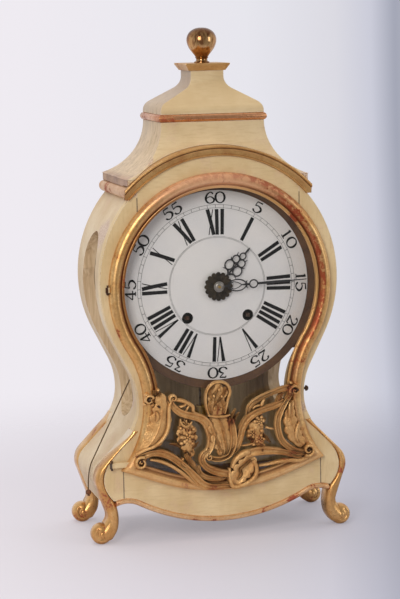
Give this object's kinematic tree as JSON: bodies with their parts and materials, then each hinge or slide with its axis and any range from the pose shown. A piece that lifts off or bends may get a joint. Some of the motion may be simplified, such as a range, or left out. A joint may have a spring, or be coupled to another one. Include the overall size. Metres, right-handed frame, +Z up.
{
  "type": "bracket clock",
  "caption": "Spring-driven bracket clock in a waisted gilt and painted wooden case with scroll feet, glazed door, enamel dial, lift-off domed roof and side pull cord.",
  "frame": {"origin": "middle of the bounding box, at floor level", "axes": "+X to the right seen from the front, +Y from the dial to the back, +Z up"},
  "size_m": [0.321, 0.155, 0.6],
  "materials": {
    "carved_gilding": "worn water gilding over red bole, semi-gloss",
    "aged_paint": "aged cream paint, satin, with wear at the edges",
    "bare_wood": "bare brown wood, matte",
    "movement_brass": "polished brass",
    "dark_steel": "aged steel",
    "black_hands": "blackened steel",
    "dark_bronze": "dark bronze, satin",
    "bell_metal": "cast bell metal, satin",
    "white_enamel": "white enamel with black numerals, glossy",
    "window_glass": "clear flat glass",
    "cord_thread": "twisted thread",
    "bead_wood": "brown polished wood"
  },
  "bodies": {
    "case": {"backboard": "bare_wood", "side_panel_left": "aged_paint", "side_panel_right": "aged_paint", "bottom_board": "bare_wood", "top_board": "bare_wood", "front_arch": "aged_paint", "front_stile_left": "aged_paint", "front_stile_right": "aged_paint", "front_apron": "aged_paint", "apron_bead": "carved_gilding", "front_leg_left": "carved_gilding", "front_leg_right": "carved_gilding", "rear_legs": "carved_gilding", "cornice_arch": "carved_gilding", "cornice_moulding": "carved_gilding", "hinge_pins": "dark_steel", "seat_board": "bare_wood", "dial": "white_enamel", "dial_ring": "bare_wood", "front_plate": "movement_brass", "back_plate": "movement_brass", "plate_pillars": "movement_brass", "pendulum_cock": "movement_brass", "bell": "bell_metal", "bell_stand": "dark_steel", "cord_eye": "dark_steel", "pull_cord": "cord_thread", "cord_bead": "bead_wood"},
    "door": {"door_hoop": "carved_gilding", "door_sill": "carved_gilding", "door_glass": "window_glass", "door_ornament": "carved_gilding", "ornament_nails": "dark_steel", "door_fittings": "dark_steel"},
    "roof": {"roof_fascia": "aged_paint", "roof_cove": "aged_paint", "roof_bead": "carved_gilding", "roof_bell": "aged_paint", "cap_slab": "carved_gilding", "finial": "carved_gilding"},
    "catch": {"catch_button": "dark_steel"},
    "minute_hand": {"minute_hand": "black_hands", "hand_nut": "dark_steel", "cannon_pinion": "movement_brass"},
    "minute_wheel": {"minute_wheel": "movement_brass"},
    "hour_hand": {"hour_hand": "black_hands", "hour_wheel": "movement_brass", "rosette": "dark_bronze"},
    "third_wheel": {"third_wheel": "movement_brass"},
    "escape_wheel": {"escape_wheel": "movement_brass"},
    "centre_wheel": {"centre_wheel": "movement_brass"},
    "intermediate_wheel": {"intermediate_wheel": "movement_brass"},
    "going_barrel": {"going_barrel": "movement_brass"},
    "going_winding_arbor": {"going_winding_arbor": "dark_steel"},
    "strike_barrel": {"strike_barrel": "movement_brass"},
    "strike_winding_arbor": {"strike_winding_arbor": "dark_steel"},
    "pendulum": {"pallets": "dark_steel", "pendulum_rod": "dark_steel", "pendulum_bob": "movement_brass"},
    "hammer": {"hammer": "dark_steel"}
  },
  "joints": [
    {"name": "door_hinge", "type": "hinge", "parent": "case", "child": "door", "pos_m": [-0.1362, -0.0647, 0.2], "axis": [0, 0, -1], "range_deg": [0, 110]},
    {"name": "roof_lift", "type": "slide", "parent": "case", "child": "roof", "axis": [0, 0, 1], "range_m": [0, 0.12]},
    {"name": "catch_press", "type": "slide", "parent": "case", "child": "catch", "axis": [-1, 0, 0], "range_m": [0, 0.003], "stiffness_N_per_m": 150, "springref_m": -0.002},
    {"name": "minute_hand_turn", "type": "hinge", "parent": "case", "child": "minute_hand", "pos_m": [0, 0, 0.298], "axis": [0, 1, 0], "continuous": true},
    {"name": "minute_wheel_turn", "type": "hinge", "parent": "case", "child": "minute_wheel", "pos_m": [0, 0, 0.3124], "axis": [0, 1, 0], "continuous": true},
    {"name": "hour_hand_turn", "type": "hinge", "parent": "case", "child": "hour_hand", "pos_m": [0, 0, 0.298], "axis": [0, 1, 0], "continuous": true},
    {"name": "third_wheel_turn", "type": "hinge", "parent": "case", "child": "third_wheel", "pos_m": [-0.01058, 0, 0.32068], "axis": [0, 1, 0], "continuous": true},
    {"name": "escape_wheel_turn", "type": "hinge", "parent": "case", "child": "escape_wheel", "pos_m": [0, 0, 0.33431], "axis": [0, 1, 0], "continuous": true},
    {"name": "centre_wheel_turn", "type": "hinge", "parent": "case", "child": "centre_wheel", "pos_m": [0, 0, 0.298], "axis": [0, 1, 0], "continuous": true},
    {"name": "intermediate_wheel_turn", "type": "hinge", "parent": "case", "child": "intermediate_wheel", "pos_m": [0.02503, 0, 0.29507], "axis": [0, 1, 0], "continuous": true},
    {"name": "going_barrel_turn", "type": "hinge", "parent": "case", "child": "going_barrel", "pos_m": [0.037, 0, 0.2615], "axis": [0, 1, 0], "continuous": true},
    {"name": "going_winding", "type": "hinge", "parent": "case", "child": "going_winding_arbor", "pos_m": [0.037, 0, 0.2615], "axis": [0, 1, 0], "range_deg": [0, 1980]},
    {"name": "strike_barrel_turn", "type": "hinge", "parent": "case", "child": "strike_barrel", "pos_m": [-0.037, 0, 0.2615], "axis": [0, 1, 0], "continuous": true},
    {"name": "strike_winding", "type": "hinge", "parent": "case", "child": "strike_winding_arbor", "pos_m": [-0.037, 0, 0.2615], "axis": [0, 1, 0], "range_deg": [0, 1980]},
    {"name": "pendulum_swing", "type": "hinge", "parent": "case", "child": "pendulum", "pos_m": [0, 0, 0.35301], "axis": [0, 1, 0], "range_deg": [-4, 4]},
    {"name": "hammer_swing", "type": "hinge", "parent": "case", "child": "hammer", "pos_m": [-0.024, 0, 0.358], "axis": [0, -1, 0], "range_deg": [0, 12]}
  ],
  "couplings": [
    {"joint": "minute_wheel_turn", "follows": "minute_hand_turn", "ratio": -0.33333},
    {"joint": "hour_hand_turn", "follows": "minute_hand_turn", "ratio": 0.083333},
    {"joint": "escape_wheel_turn", "follows": "third_wheel_turn", "ratio": -10.5},
    {"joint": "centre_wheel_turn", "follows": "third_wheel_turn", "ratio": -0.083333},
    {"joint": "intermediate_wheel_turn", "follows": "third_wheel_turn", "ratio": 0.013889},
    {"joint": "going_barrel_turn", "follows": "third_wheel_turn", "ratio": -0.0017361}
  ]
}
